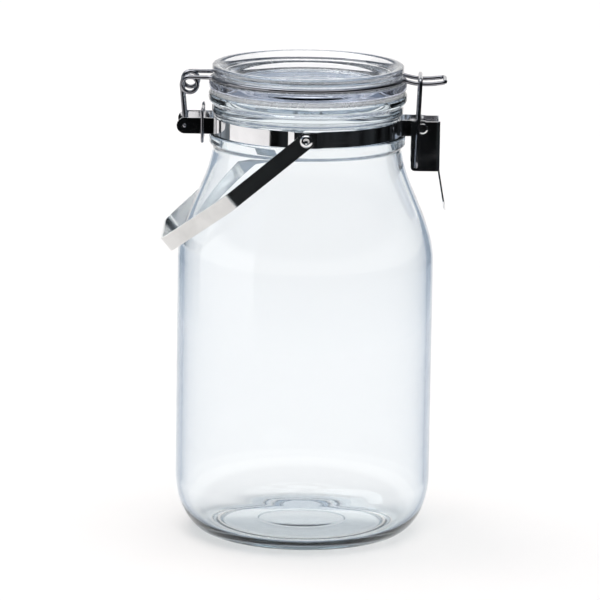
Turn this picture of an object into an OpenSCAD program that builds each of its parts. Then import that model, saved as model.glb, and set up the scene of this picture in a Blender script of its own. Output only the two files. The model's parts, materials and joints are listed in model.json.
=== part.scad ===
// Lidded glass canister: a glass jar and a glass lid, sprung together by steel
// wire and strap fittings, with a swinging carrying handle.
// Z is up, the hinge is on -X, the latch is on +X and the handle pivots on Y.

/* [Jar] */
// Outside diameter of the jar's body
body_d = 143.6; // [118:0.1:180]
// Height of the jar, from the surface it stands on to its sealing land
jar_h = 250.4; // [205:0.1:310]
// Thickness of the side wall
wall = 3.6; // [2.8:0.1:5]
// Thickness of the floor
floor_t = 5.5; // [4:0.1:7]
// Diameter of the ring that the jar stands on
foot_d = 104; // [90:1:114]
// Height of the rounded heel
heel_h = 33; // [18:1:40]
// Diameter of the floor inside the jar, up to its rounded corner
floor_d = 108; // [90:1:110]
// Height of that rounded corner
corner_h = 24; // [14:1:30]
// Height of the shoulder, from the straight body to the neck
shoulder_h = 64; // [50:1:80]
// Diameter of the mouth
mouth_d = 93; // [78:0.1:112]

/* [Lid] */
// Height of the lid above the gasket
lid_h = 13; // [11:0.1:16]
// Thickness of the lid's dish
dish_t = 4.6; // [3.5:0.1:6]
// Thickness of the gasket when it is pressed down
gasket_t = 2.6; // [1.5:0.1:4]

/* [Neck strap] */
// Height of the strap
strap_h = 9; // [7:0.1:11]
// Thickness of the strap's steel
strap_t = 0.8; // [0.6:0.1:1.2]
// Distance from the jar's axis to the hinge axis
hinge_x = 68.3; // [66:0.1:74]
// Distance from the jar's axis to the lever's pin
latch_x = 64.3; // [63:0.1:72]

/* [Wire] */
// Diameter of the lid wire and of the bail
wire_d = 2.3; // [1.8:0.1:2.8]
// Outside diameter of the spring coil at each end of the lid wire
coil_d = 11; // [9:0.1:13]

/* [Lever] */
// Height of the lever's cheeks
lever_h = 28; // [24:0.1:34]
// Length of the thumb tab below the cheeks
tab_l = 23; // [16:0.1:28]
// Outside width of the lever
lever_w = 22.2; // [20:0.1:26]

/* [Handle] */
// Width of the handle's strip
handle_w = 9; // [7:0.1:12]
// Thickness of the handle's strip
handle_t = 1.4; // [1:0.1:2]
// Angle below level at which the handle hangs
hang_deg = 40; // [30:1:46]
// Length of the grip between its two bends
grip_l = 56.8; // [44:0.1:70]

/* [Hidden] */
$fn = 96;

glass = [0.82, 0.92, 0.93, 0.4];
rubber = [0.93, 0.94, 0.94];
steel = [0.72, 0.73, 0.75];
satin = [0.86, 0.86, 0.85];

run_gap = 0.05;     // radial clearance of a part that turns on a pin
seat_gap = 0.2;     // clearance of the strap round the glass
side_gap = 0.1;     // clearance between flat faces that slide
swing_gap = 0.6;    // clearance between the handle's arms and the glass

body_r = body_d / 2;
foot_r = foot_d / 2;
floor_r = floor_d / 2;
mouth_r = mouth_d / 2;
groove_r = mouth_r + 5.6;          // glass under the strap
collar_r = groove_r + 1.5;         // neck above the strap
bead_r = groove_r + 2.9;           // bead below the strap
flange_r = groove_r + 3.4;         // lip round the mouth
neck_in_r = groove_r - 4;          // inside of the neck
push_up = 2.5;                     // rise of the underside's centre
stand_w = 6;                       // width of the ring that the jar stands on

lip_h = 4.5;                                   // height of the mouth's lip
strap_top = jar_h - 13.4;
strap_z = strap_top - strap_h / 2;             // mid height of the strap
groove_z = strap_top - strap_h - seat_gap;     // bottom of the strap's groove
bead_h = 5.4;
neck_z = groove_z - bead_h - 3;                // top of the shoulder
shoulder_z = neck_z - shoulder_h;
neck_r = groove_r + 0.7;                       // neck just above the shoulder

lid_z = jar_h + gasket_t;          // underside of the lid's flange
lid_top = lid_z + lid_h;
rim_r = groove_r + 1.5;            // raised rim on top of the lid
waist_r = groove_r - 0.2;          // groove that the wire lies in
skirt_h = 5.2;                     // height of the lid's flange
plug_r = mouth_r - 3;
plug_h = 5.5;

wire_r = wire_d / 2;
ring_r = waist_r + wire_r + 0.6;   // middle of the wire round the lid
ring_z = lid_z + skirt_h + wire_r + side_gap;
strand_y = 10.7;                   // half the distance between the wire's strands
leg_y = strand_y - 1.25 * (wire_d + 0.2);      // the same for the legs below the coils
tongue_y = 10;                     // half the width of the wire's tongue
tongue_dip = 1.9;                  // drop of the tongue's seat below the ring
tongue_z = ring_z - tongue_dip;
seat_x = ring_r + 7;               // start of the tongue's level seat
seat_l = 8;                        // length of that seat
tongue_l = 8;                      // length of the tongue beyond its seat
tongue_lift = 8;                   // angle at which the tongue's end turns up
coil_r = coil_d / 2 - wire_r;
coil_x = hinge_x - 2.4;
coil_z = ring_z - coil_r;

strap_in = groove_r + seat_gap;
strap_out = strap_in + strap_t;
ear_r = strap_h / 2;
hinge_ear_y = strand_y + wire_r + 0.25;        // inside face of a hinge ear
cheek_t = 1;
cheek_y = lever_w / 2 - cheek_t;               // inside face of a cheek
latch_ear_y = cheek_y - side_gap - strap_t;    // inside face of a latch ear
pad_y = strap_out + 1.8;                       // face of the handle's pad
pad_w = 13;                                    // width of that face
pad_slope = 3;                                 // width of each slope beside it

rivet_r = 2;
rivet_head_r = 3.6;
rivet_head_t = 1.4;
tail_head_t = 0.9;
arm_y = flange_r + swing_gap;                  // inside face of a handle's arm
pin_r = 1.5;
pin_head_r = 3;
pin_head_t = 0.6;

bail_x = 61;                                   // lower end of the bail
bail_drop = 21;                                // its depth below the lever's pin
bail_z = strap_z - bail_drop;
bail_y = lever_w / 2 + side_gap + pin_head_t + 0.2 + wire_r;
bail_top_x = seat_x + 2.1;
bail_top_z = tongue_z + wire_d + 0.3;
bail_bend = 3;

lever_top = strap_z + 4;
lever_in_x = latch_x - 6.3;
lever_out_x = latch_x + 9.9;
lever_corner = 2.4;
tab_w = 18;
tab_out = 4;                                   // how far the tab leans out

grip_out = handle_w * sin(hang_deg) / 2 + handle_t + 1.2;
handle_reach = (body_r + grip_out) / cos(hang_deg);
arm_l = handle_reach * 0.56;
handle_bend = 5;
eye_r = handle_w / 2 + 0.4;                    // round end of each arm, at its rivet

// Points of a Bezier curve from a to d, in n steps
function bezier(a, b, c, d, n) =
    [for (i = [0:n]) let (t = i / n, u = 1 - t)
        u * u * u * a + 3 * u * u * t * b + 3 * u * t * t * c + t * t * t * d];

// Points of a quarter ellipse: from angle 0 at the start of the turn to 90
function quarter(centre, rx, rz, from, to, n) =
    [for (i = [0:n]) let (t = from + (to - from) * i / n)
        centre + [rx * cos(t), rz * sin(t)]];

// Replaces each inner corner of a path by an arc that cuts it off at distance d
function round_corners(path, d, n = 6) =
    [path[0],
     for (i = [1:len(path) - 2])
        let (to_a = path[i - 1] - path[i], to_b = path[i + 1] - path[i],
             a = path[i] + to_a * d / norm(to_a), b = path[i] + to_b * d / norm(to_b))
        for (k = [0:n]) let (t = k / n, u = 1 - t)
            u * u * a + 2 * u * t * path[i] + t * t * b,
     path[len(path) - 1]];

// Unit normal of the stretch of a path that ends at point i
function stretch_normal(path, i) =
    let (k = min(max(i, 1), len(path) - 1), v = (path[k] - path[k - 1]) / norm(path[k] - path[k - 1]))
    [-v[1], v[0]];

// Mitred normal of a path at point i, so that both stretches beside it keep their offset
function path_normal(path, i) =
    let (a = stretch_normal(path, i), b = stretch_normal(path, i + 1)) (a + b) / (1 + a * b);

// Closed outline of a strip of thickness t that follows a path
function strip(path, t) =
    concat([for (i = [0:len(path) - 1]) path[i] + path_normal(path, i) * t / 2],
           [for (i = [len(path) - 1:-1:0]) path[i] - path_normal(path, i) * t / 2]);

// Extrudes a shape drawn in X and Z, from y = from over thickness t
module side_plate(from, t) {
    translate([0, from + t, 0]) rotate([90, 0, 0]) linear_extrude(t) children();
}

// Cylinder along Y from y = from over length l
module cross_pin(x, z, from, l, r) {
    translate([x, from, z]) rotate([-90, 0, 0]) cylinder(h = l, r = r);
}

// Straight wire from a to b, with flat ends
module rod(a, b, r = wire_r) {
    v = b - a;
    translate(a) rotate([0, acos(v[2] / norm(v)), atan2(v[1], v[0])])
        cylinder(h = norm(v), r = r, $fn = 32);
}

// Straight wire from a to b, with round ends
module wire(a, b, r = wire_r) {
    rod(a, b, r);
    for (p = [a, b]) translate(p) sphere(r = r, $fn = 32);
}

// Quarter turn of wire round the origin, in the +X +Y quadrant
module wire_bend(bend, r = wire_r) {
    intersection() {
        rotate_extrude($fn = 64) translate([bend, 0]) circle(r = r, $fn = 32);
        translate([0, 0, -2 * r]) cube([bend + 2 * r, bend + 2 * r, 4 * r]);
    }
}

module jar() {
    outside = concat(
        [[foot_r - stand_w, 0]],
        quarter([foot_r, heel_h], body_r - foot_r, heel_h, -90, 0, 14),
        bezier([body_r, shoulder_z], [body_r, shoulder_z + shoulder_h * 0.36],
               [neck_r + 2.2, shoulder_z + shoulder_h * 0.66], [neck_r, neck_z], 16),
        [[bead_r - 1, neck_z + 1.6], [bead_r, neck_z + 3.4], [bead_r, groove_z - 1.4],
         [bead_r - 1, groove_z], [groove_r, groove_z],
         [groove_r, strap_top + 1.8], [collar_r, strap_top + 3.2],
         [collar_r, jar_h - lip_h - 1.2], [flange_r - 0.6, jar_h - lip_h],
         [flange_r, jar_h - lip_h + 1], [flange_r, jar_h - 1], [flange_r - 1, jar_h]]);
    inside = concat(
        [[mouth_r + 1, jar_h], [mouth_r, jar_h - 1], [mouth_r, jar_h - lip_h],
         [neck_in_r, jar_h - lip_h - 4]],
        bezier([neck_r - wall, neck_z], [neck_r - wall + 2, shoulder_z + shoulder_h * 0.66],
               [body_r - wall, shoulder_z + shoulder_h * 0.34], [body_r - wall, shoulder_z], 16),
        quarter([floor_r, floor_t + corner_h], body_r - wall - floor_r, corner_h, 0, -90, 14),
        [[floor_r * 0.4, floor_t + push_up * 0.7], [0, floor_t + push_up]]);
    underside = [[0, push_up], [foot_r * 0.4, push_up * 0.9], [foot_r - stand_w - 3, push_up * 0.4]];
    color(glass) rotate_extrude() polygon(concat(outside, inside, underside));
}

module gasket() {
    color(rubber) translate([0, 0, jar_h]) difference() {
        cylinder(h = gasket_t, r = flange_r - 0.9);
        translate([0, 0, -1]) cylinder(h = gasket_t + 2, r = mouth_r + 1);
    }
}

module lid() {
    flange_top = lid_z + skirt_h;
    dish_z = lid_top - 9.5;
    profile = [
        [0, dish_z - dish_t + 1], [plug_r * 0.85, dish_z - dish_t], [plug_r - 2.6, lid_z - plug_h],
        [plug_r - 1, lid_z - plug_h], [plug_r, lid_z - plug_h + 1], [plug_r, lid_z],
        [flange_r - 0.8, lid_z], [flange_r, lid_z + 0.8], [flange_r, flange_top - 1.2],
        [flange_r - 1.2, flange_top], [waist_r, flange_top], [waist_r, flange_top + wire_d],
        [rim_r - 0.4, lid_top - 4], [rim_r, lid_top - 2.6], [rim_r - 0.3, lid_top - 1.1],
        [rim_r - 1.4, lid_top], [rim_r - 3.4, lid_top], [rim_r - 5, lid_top - 0.9],
        [rim_r - 7.5, lid_top - 4], [rim_r - 12, lid_top - 6], [rim_r - 14, lid_top - 8.6],
        [rim_r - 17, dish_z], [0, dish_z + 1]];
    color(glass) rotate_extrude() polygon(profile);
}

// Half of the neck strap, on the -Y side, with an ear at each end and a pad for the handle
module strap_half() {
    slot = [[-pad_w / 2 - pad_slope + strap_t, -strap_in + 3],
            [-pad_w / 2 - pad_slope + strap_t, -strap_in + strap_t],
            [-pad_w / 2 + strap_t / 2, strap_t - pad_y], [pad_w / 2 - strap_t / 2, strap_t - pad_y],
            [pad_w / 2 + pad_slope - strap_t, -strap_in + strap_t],
            [pad_w / 2 + pad_slope - strap_t, -strap_in + 3]];
    pad = [[-pad_w / 2 - pad_slope, -strap_in + 2], [-pad_w / 2 - pad_slope, -strap_in],
           [-pad_w / 2, -pad_y], [pad_w / 2, -pad_y],
           [pad_w / 2 + pad_slope, -strap_in], [pad_w / 2 + pad_slope, -strap_in + 2]];
    difference() {
        union() {
            translate([0, 0, strap_z - strap_h / 2]) linear_extrude(strap_h) difference() {
                union() {
                    difference() {
                        circle(r = strap_out);
                        translate([-strap_out - 1, -hinge_ear_y]) square([strap_out + 1, 2 * strap_out]);
                        translate([0, -latch_ear_y]) square([strap_out + 1, 2 * strap_out]);
                    }
                    polygon(pad);
                    translate([-hinge_x, -hinge_ear_y - strap_t]) square([hinge_x - strap_in + 2, strap_t]);
                    translate([strap_in - 2, -latch_ear_y - strap_t]) square([latch_x - strap_in + 2, strap_t]);
                }
                circle(r = strap_in);
                polygon(slot);
            }
            cross_pin(-hinge_x, strap_z, -hinge_ear_y - strap_t, strap_t, ear_r);
            cross_pin(latch_x, strap_z, -latch_ear_y - strap_t, strap_t, ear_r);
        }
        cross_pin(-hinge_x, strap_z, -hinge_ear_y - strap_t - 1, strap_t + 2, wire_r + run_gap);
        cross_pin(latch_x, strap_z, -latch_ear_y - strap_t - 1, strap_t + 2, pin_r + run_gap / 2);
        cross_pin(0, strap_z, -pad_y - 1, strap_t + 2, rivet_r + run_gap / 2);
    }
}

module strap_front() {
    color(steel) strap_half();
}

module strap_rear() {
    color(steel) mirror([0, 1, 0]) strap_half();
}

// Wire loop that holds the two hinge ears together, close to the glass
module strap_keeper() {
    r = 0.8;
    x = -(flange_r + r + 2.2);
    y = hinge_ear_y + strap_t + side_gap + r;
    z = strap_h;
    color(steel) for (s = [-1, 1]) {
        wire([x, s * y, strap_z - z], [x, s * y, strap_z + z], r);
        wire([x, -y, strap_z + s * z], [x, y, strap_z + s * z], r);
    }
}

// Shouldered rivet on the -Y side: tail head, shank, collar and round head
module rivet() {
    head_y = arm_y + handle_t + side_gap;
    cross_pin(0, strap_z, -head_y - rivet_head_t * 0.5, head_y + rivet_head_t * 0.5 - pad_y + strap_t, rivet_r);
    cross_pin(0, strap_z, -pad_y + strap_t, tail_head_t, rivet_head_r - 0.4);
    cross_pin(0, strap_z, -arm_y + side_gap, arm_y - side_gap - pad_y, rivet_head_r - 0.4);
    intersection() {
        translate([0, -head_y + 4.7, strap_z]) sphere(r = 6.1);
        cross_pin(0, strap_z, -head_y - rivet_head_t, rivet_head_t, rivet_head_r);
    }
}

module rivet_front() {
    color(steel) rivet();
}

module rivet_rear() {
    color(steel) mirror([0, 1, 0]) rivet();
}

module handle() {
    side = arm_y + handle_t / 2;
    path = round_corners([[0, -side], [-arm_l, -side], [-handle_reach, -grip_l / 2],
                          [-handle_reach, grip_l / 2], [-arm_l, side], [0, side]], handle_bend);
    color(satin) translate([0, 0, strap_z]) rotate([0, -hang_deg, 0]) difference() {
        union() {
            translate([0, 0, -handle_w / 2]) linear_extrude(handle_w) polygon(strip(path, handle_t));
            for (y = [-arm_y - handle_t, arm_y]) cross_pin(0, 0, y, handle_t, eye_r);
        }
        for (y = [-arm_y - handle_t - 1, arm_y - 1])
            cross_pin(0, 0, y, handle_t + 2, rivet_r + run_gap);
    }
}

// Middle line of half of the lid wire, on the -Y side: from its end in the ear, up the leg,
// round the spring coil, along the strand, round the lid and out to the middle of the tongue
function wire_path() =
    let (ring_start = asin(strand_y / ring_r), ring_end = asin(tongue_y / ring_r),
         end_y = hinge_ear_y + strap_t + 0.8, leg_x = -coil_x - coil_r,
         lift = tongue_l * sin(tongue_lift), tongue_x = seat_x + seat_l + tongue_l)
    concat(
        round_corners([[-hinge_x, -end_y, strap_z], [-hinge_x, -leg_y, strap_z],
                       [leg_x, -leg_y, coil_z - 1]], 1.6, 4),
        [for (i = [0:30]) let (t = i / 30, a = 180 - 450 * t)
            [-coil_x + coil_r * cos(a), -leg_y - (strand_y - leg_y) * t, coil_z + coil_r * sin(a)]],
        round_corners([[1.5 - coil_x, -strand_y, ring_z],
                       [-ring_r * cos(ring_start), -strand_y, ring_z],
                       [-ring_r * cos(ring_start + 8), -ring_r * sin(ring_start + 8), ring_z]], 4, 6),
        [for (i = [1:28]) let (a = 188 + ring_start + (164 - ring_start - ring_end) * i / 29)
            [ring_r * cos(a), ring_r * sin(a), ring_z]],
        round_corners([[ring_r * cos(ring_end + 8), -ring_r * sin(ring_end + 8), ring_z],
                       [ring_r * cos(ring_end), -tongue_y, ring_z],
                       [seat_x, -tongue_y, tongue_z],
                       [seat_x + seat_l, -tongue_y, tongue_z],
                       [tongue_x, -tongue_y, tongue_z + lift],
                       [tongue_x, 0, tongue_z + lift]], 2.8, 5));

// Direction of a path at point i
function path_way(path, i) =
    let (v = path[min(i + 1, len(path) - 1)] - path[max(i - 1, 0)]) v / norm(v);

// One direction across the path for each of its points, turning as little as it can
function path_sides(path) =
    [for (i = 0, n = [0, 0, 1]; i < len(path);
          i = i + 1, m = n - (n * path_way(path, min(i, len(path) - 1))) * path_way(path, min(i, len(path) - 1)),
          n = m / norm(m)) n];

// Tube of radius r round a path, with flat ends
module tube(path, r, sides = 10) {
    across = path_sides(path);
    last = len(path) - 1;
    points = [for (i = [0:last], k = [0:sides - 1])
        let (n = across[i], b = cross(path_way(path, i), n), a = 360 * k / sides)
            path[i] + r * (cos(a) * n + sin(a) * b)];
    walls = [for (i = [0:last - 1], k = [0:sides - 1])
        let (a = i * sides + k, b = i * sides + (k + 1) % sides)
            each [[a, b, b + sides], [a, b + sides, a + sides]]];
    ends = [[for (k = [sides - 1:-1:0]) k], [for (k = [0:sides - 1]) last * sides + k]];
    polyhedron(points, concat(walls, ends), convexity = 8);
}

module lid_wire() {
    half = wire_path();
    whole = concat(half, [for (i = [len(half) - 2:-1:0]) [half[i][0], -half[i][1], half[i][2]]]);
    color(steel) tube(whole, wire_r);
}

module latch_pin() {
    half = lever_w / 2 + side_gap;
    color(steel) {
        cross_pin(latch_x, strap_z, -half - pin_head_t, 2 * (half + pin_head_t), pin_r);
        for (y = [-half - pin_head_t, half]) cross_pin(latch_x, strap_z, y, pin_head_t, pin_head_r);
    }
}

module latch_lever() {
    bottom = lever_top - lever_h;
    cheek = concat([[lever_in_x, lever_top], [lever_out_x, lever_top], [lever_out_x, bottom]],
                   quarter([lever_in_x + lever_corner, bottom + lever_corner],
                           lever_corner, lever_corner, -90, -180, 6));
    tab = round_corners([[lever_out_x - cheek_t / 2, bottom + 3], [lever_out_x - cheek_t / 2, bottom],
                         [lever_out_x - cheek_t / 2 + tab_out, bottom - tab_l]], 2);
    color(steel) difference() {
        union() {
            for (y = [-lever_w / 2, cheek_y]) side_plate(y, cheek_t) polygon(cheek);
            translate([lever_out_x - cheek_t, -lever_w / 2, bottom]) cube([cheek_t, lever_w, lever_h]);
            side_plate(-tab_w / 2, tab_w) polygon(strip(tab, cheek_t));
        }
        for (y = [-lever_w / 2 - 1, cheek_y - 1]) {
            cross_pin(latch_x, strap_z, y, cheek_t + 2, pin_r + run_gap);
            cross_pin(bail_x, bail_z, y, cheek_t + 2, wire_r + run_gap);
        }
    }
}

// Half of the bail, on the -Y side, from the lever to the middle of the crossbar
module bail_half() {
    stub = bail_y - cheek_y + 0.4;
    lean = atan2(bail_top_x - bail_x, bail_top_z - bail_z);
    reach = norm([bail_top_x - bail_x, bail_top_z - bail_z]);
    cross_pin(bail_x, bail_z, -bail_y, stub, wire_r);
    translate([bail_x, 0, bail_z]) rotate([0, lean, 0]) {
        wire([0, -bail_y, 0], [0, -bail_y, reach - bail_bend]);
        translate([0, bail_bend - bail_y, reach - bail_bend]) rotate([90, 0, -90]) wire_bend(bail_bend);
        wire([0, bail_bend - bail_y, reach], [0, 0, reach]);
    }
}

module latch_bail() {
    color(steel) {
        bail_half();
        mirror([0, 1, 0]) bail_half();
    }
}

jar();
gasket();
lid();
strap_front();
strap_rear();
strap_keeper();
rivet_front();
rivet_rear();
handle();
lid_wire();
latch_pin();
latch_lever();
latch_bail();
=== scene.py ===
"""Lidded glass canister: the finished look of a wire-hinged glass storage jar.

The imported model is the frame. Each class below makes one group of pieces in metres, in the frame's own
axes: Z up, the hinge on -X, the latch on +X and the handle's pivots on Y.
"""
import json
import logging
import math
from dataclasses import dataclass, field
from enum import Enum
from typing import Callable, Sequence

import bmesh
import bpy
from bpy.types import Material, Node, NodeSocket, NodeTree, Object
from mathutils import Matrix, Vector

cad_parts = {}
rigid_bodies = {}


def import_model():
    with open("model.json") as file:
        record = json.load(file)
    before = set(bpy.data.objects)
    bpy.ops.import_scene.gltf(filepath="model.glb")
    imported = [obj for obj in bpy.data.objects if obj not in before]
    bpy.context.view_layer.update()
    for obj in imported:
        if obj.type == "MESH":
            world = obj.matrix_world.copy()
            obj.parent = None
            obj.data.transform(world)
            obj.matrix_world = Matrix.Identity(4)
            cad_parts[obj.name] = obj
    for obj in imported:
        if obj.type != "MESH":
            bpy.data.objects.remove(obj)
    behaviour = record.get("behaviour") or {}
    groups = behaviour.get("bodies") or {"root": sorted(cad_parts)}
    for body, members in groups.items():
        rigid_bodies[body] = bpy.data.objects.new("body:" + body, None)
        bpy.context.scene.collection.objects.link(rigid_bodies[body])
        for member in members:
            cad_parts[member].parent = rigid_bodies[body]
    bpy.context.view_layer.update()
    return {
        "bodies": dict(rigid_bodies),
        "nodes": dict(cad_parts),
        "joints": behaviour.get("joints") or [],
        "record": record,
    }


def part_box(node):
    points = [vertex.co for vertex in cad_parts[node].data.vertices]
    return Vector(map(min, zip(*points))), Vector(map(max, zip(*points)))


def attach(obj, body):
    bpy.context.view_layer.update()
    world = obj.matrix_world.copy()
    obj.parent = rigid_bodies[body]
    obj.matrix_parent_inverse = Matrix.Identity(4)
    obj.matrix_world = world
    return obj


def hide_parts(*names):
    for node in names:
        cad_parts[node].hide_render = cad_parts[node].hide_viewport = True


LOG = logging.getLogger("canister")
MM = 0.001
TURN_STEPS = 224
QUARTER = math.pi / 2
Point2 = tuple[float, float]
Outline = Sequence[Sequence[float]]
Colour = tuple[float, float, float]
Path3 = list[Vector]


class Body(Enum):
    """The moving bodies that pieces ride on."""

    VESSEL = "vessel"
    LID = "lid"
    LEVER = "lever"
    BAIL = "bail"
    HANDLE = "handle"


class Side(Enum):
    """The two sides of the jar that fittings repeat on."""

    FRONT = -1
    REAR = 1


# ---- outlines and paths


def bezier(a: Point2, b: Point2, c: Point2, d: Point2, steps: int) -> list[Point2]:
    """Points along a cubic curve.

    Args:
        a: Start.
        b: Handle that the curve leaves a towards.
        c: Handle that the curve reaches d from.
        d: End.
        steps: Number of stretches.

    Returns:
        The steps + 1 points from a to d.
    """
    points = []
    for i in range(steps + 1):
        t = i / steps
        u = 1 - t
        weights = (u ** 3, 3 * u * u * t, 3 * u * t * t, t ** 3)
        points.append(tuple(sum(w * p[k] for w, p in zip(weights, (a, b, c, d))) for k in (0, 1)))
    return points


def ellipse(centre: Point2, radii: Point2, start: float, end: float, steps: int) -> list[Point2]:
    """Points along part of an ellipse.

    Args:
        centre: Middle of the ellipse.
        radii: Its two half widths.
        start: First angle, in degrees.
        end: Last angle, in degrees.
        steps: Number of stretches.

    Returns:
        The steps + 1 points.
    """
    angles = [math.radians(start + (end - start) * i / steps) for i in range(steps + 1)]
    return [(centre[0] + radii[0] * math.cos(t), centre[1] + radii[1] * math.sin(t)) for t in angles]


def soften(points: Sequence, cut: float, steps: int = 5) -> list[Vector]:
    """Rounds each inner corner of a path.

    Args:
        points: The corners, in two or three dimensions.
        cut: Distance from a corner at which its round starts, at most 0.45 of a stretch.
        steps: Stretches in each round.

    Returns:
        The softened path.
    """
    path = [Vector(p) for p in points]
    out = [path[0]]
    for before, here, after in zip(path, path[1:], path[2:]):
        near = here + (before - here) * min(0.45, cut / max((before - here).length, 1e-9))
        far = here + (after - here) * min(0.45, cut / max((after - here).length, 1e-9))
        for i in range(steps + 1):
            t = i / steps
            out.append(near * (1 - t) ** 2 + here * 2 * t * (1 - t) + far * t * t)
    return out + [path[-1]]


def lengths_along(path: Path3) -> list[float]:
    """Measures a path.

    Args:
        path: The path.

    Returns:
        The distance from its start to each of its points.
    """
    run = [0.0]
    for a, b in zip(path, path[1:]):
        run.append(run[-1] + (b - a).length)
    return run


def mirrored(half: Path3) -> Path3:
    """Goes on along a path that ends at Y = 0 by its mirror image."""
    return half + [Vector((p.x, -p.y, p.z)) for p in reversed(half[:-1])]


def close_ends(path: Path3, radius: float, steps: int) -> Path3:
    """Adds the close points that a strip's round ends need.

    Args:
        path: The middle of the strip.
        radius: Radius of the round at each end.
        steps: Points to add at each end.

    Returns:
        The path with the points.
    """
    spaces = [radius * (1 - math.cos(QUARTER * i / steps)) for i in range(1, steps + 1)]
    first, last = (path[1] - path[0]).normalized(), (path[-2] - path[-1]).normalized()
    start = [path[0] + first * space for space in spaces]
    end = [path[-1] + last * space for space in reversed(spaces)]
    return [path[0]] + start + path[1:-1] + end + [path[-1]]


def round_ends(total: float, radius: float, blunt: float = 0.12) -> Callable[[float], float]:
    """Shapes a strip that ends in half circles.

    Args:
        total: The strip's length.
        radius: Half its width.
        blunt: Width of the very end, as a share of the radius.

    Returns:
        The strip's half width at a distance along it.
    """
    def half_width(s: float) -> float:
        """Half width at a distance along the strip."""
        inset = radius - min(s, total - s, radius)
        return math.sqrt(max(radius ** 2 - inset ** 2, (blunt * radius) ** 2))

    return half_width


# ---- meshes


def as_object(name: str, bm: bmesh.types.BMesh, smooth_angle: float = 40.0) -> Object:
    """Turns a bmesh into a linked object with smooth faces.

    Args:
        name: The piece's name.
        bm: The mesh, which is freed.
        smooth_angle: Edges sharper than this many degrees stay sharp.

    Returns:
        The new object.
    """
    mesh = bpy.data.meshes.new(name)
    bm.to_mesh(mesh)
    bm.free()
    mesh.shade_smooth()
    mesh.set_sharp_from_angle(angle=math.radians(smooth_angle))
    piece = bpy.data.objects.new(name, mesh)
    bpy.context.scene.collection.objects.link(piece)
    return piece


def revolve(name: str, profile: Outline, closed: bool = False) -> Object:
    """Spins a profile of radius and height round the jar's axis.

    Args:
        name: The piece's name.
        profile: The points, each a radius and a height.
        closed: True for a ring, whose last point joins its first.

    Returns:
        The turned piece.
    """
    bm = bmesh.new()
    line = [bm.verts.new((p[0], 0, p[1])) for p in profile]
    ends = line[1:] + ([line[0]] if closed else [])
    edges = [bm.edges.new(pair) for pair in zip(line, ends)]
    bmesh.ops.spin(bm, geom=line + edges, cent=(0, 0, 0), axis=(0, 0, 1),
                   angle=math.tau, steps=TURN_STEPS, use_merge=True)
    bmesh.ops.remove_doubles(bm, verts=bm.verts[:], dist=1e-7)
    bmesh.ops.recalc_face_normals(bm, faces=bm.faces[:])
    return as_object(name, bm, 60.0)


def bent_wire(name: str, path: Path3, radius: float, sides: int = 6) -> Object:
    """Draws a round wire with domed ends along a path and makes it a mesh.

    Args:
        name: The piece's name.
        path: The wire's middle line.
        radius: Half the wire's diameter.
        sides: Roundness of the wire, a quarter of its faces round.

    Returns:
        The wire.
    """
    dome = [math.radians(a) for a in (85, 65, 45, 22)]
    dome_h = radius * 0.6
    first, last = (path[0] - path[1]).normalized(), (path[-1] - path[-2]).normalized()
    start = [path[0] - first * dome_h * (1 - math.sin(a)) for a in dome]
    end = [path[-1] - last * dome_h * (1 - math.sin(a)) for a in reversed(dome)]
    thin = [math.cos(a) for a in dome]
    girth = thin + [1.0] * (len(path) - 2) + thin[::-1]
    path = start + path[1:-1] + end
    curve = bpy.data.curves.new(name, "CURVE")
    curve.dimensions = "3D"
    curve.bevel_depth = radius
    curve.bevel_resolution = sides
    curve.use_fill_caps = True
    line = curve.splines.new("POLY")
    line.points.add(len(path) - 1)
    for point, place, share in zip(line.points, path, girth):
        point.co = (*place, 1)
        point.radius = share
    drawn = bpy.data.objects.new(name + "_line", curve)
    bpy.context.scene.collection.objects.link(drawn)
    bm = bmesh.new()
    bm.from_mesh(drawn.evaluated_get(bpy.context.evaluated_depsgraph_get()).to_mesh())
    bpy.data.objects.remove(drawn)
    bmesh.ops.remove_doubles(bm, verts=bm.verts[:], dist=1e-6)
    bmesh.ops.recalc_face_normals(bm, faces=bm.faces[:])
    return as_object(name, bm, 50.0)


def bent_strip(name: str, path: Path3, across: Vector, low: Callable[[float], float],
               high: Callable[[float], float], thickness: float, edge: float) -> Object:
    """Folds a flat strip of sheet along a path.

    Args:
        name: The piece's name.
        path: The middle of the sheet's thickness.
        across: Direction of the strip's width, of length one.
        low: Place of the strip's lower edge across the path, at a distance along it.
        high: Place of its upper edge.
        thickness: Thickness of the sheet.
        edge: Radius of its worn edges.

    Returns:
        The strip, with its thickness and its edges as applied geometry.
    """
    bm = bmesh.new()
    run = lengths_along(path)
    rows = [[bm.verts.new(p + across * side(s)) for p, s in zip(path, run)] for side in (low, high)]
    chains = [[bm.edges.new(pair) for pair in zip(row, row[1:])] for row in rows]
    bmesh.ops.bridge_loops(bm, edges=chains[0] + chains[1])
    bmesh.ops.recalc_face_normals(bm, faces=bm.faces[:])
    piece = as_object(name, bm, 30.0)
    sheet = piece.modifiers.new("sheet", "SOLIDIFY")
    sheet.thickness = thickness
    sheet.offset = 0
    sheet.use_even_offset = True
    worn = piece.modifiers.new("worn_edges", "BEVEL")
    worn.width = edge
    worn.segments = 3
    worn.limit_method = "ANGLE"
    worn.angle_limit = math.radians(50)
    worn.harden_normals = True
    return apply_modifiers(piece)


def apply_modifiers(piece: Object) -> Object:
    """Replaces a piece's mesh by what its modifiers make of it.

    Args:
        piece: The piece.

    Returns:
        The same piece, with no modifiers left.
    """
    done = bpy.data.meshes.new_from_object(piece.evaluated_get(bpy.context.evaluated_depsgraph_get()))
    piece.modifiers.clear()
    piece.data = done
    done.name = piece.name
    return piece


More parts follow.
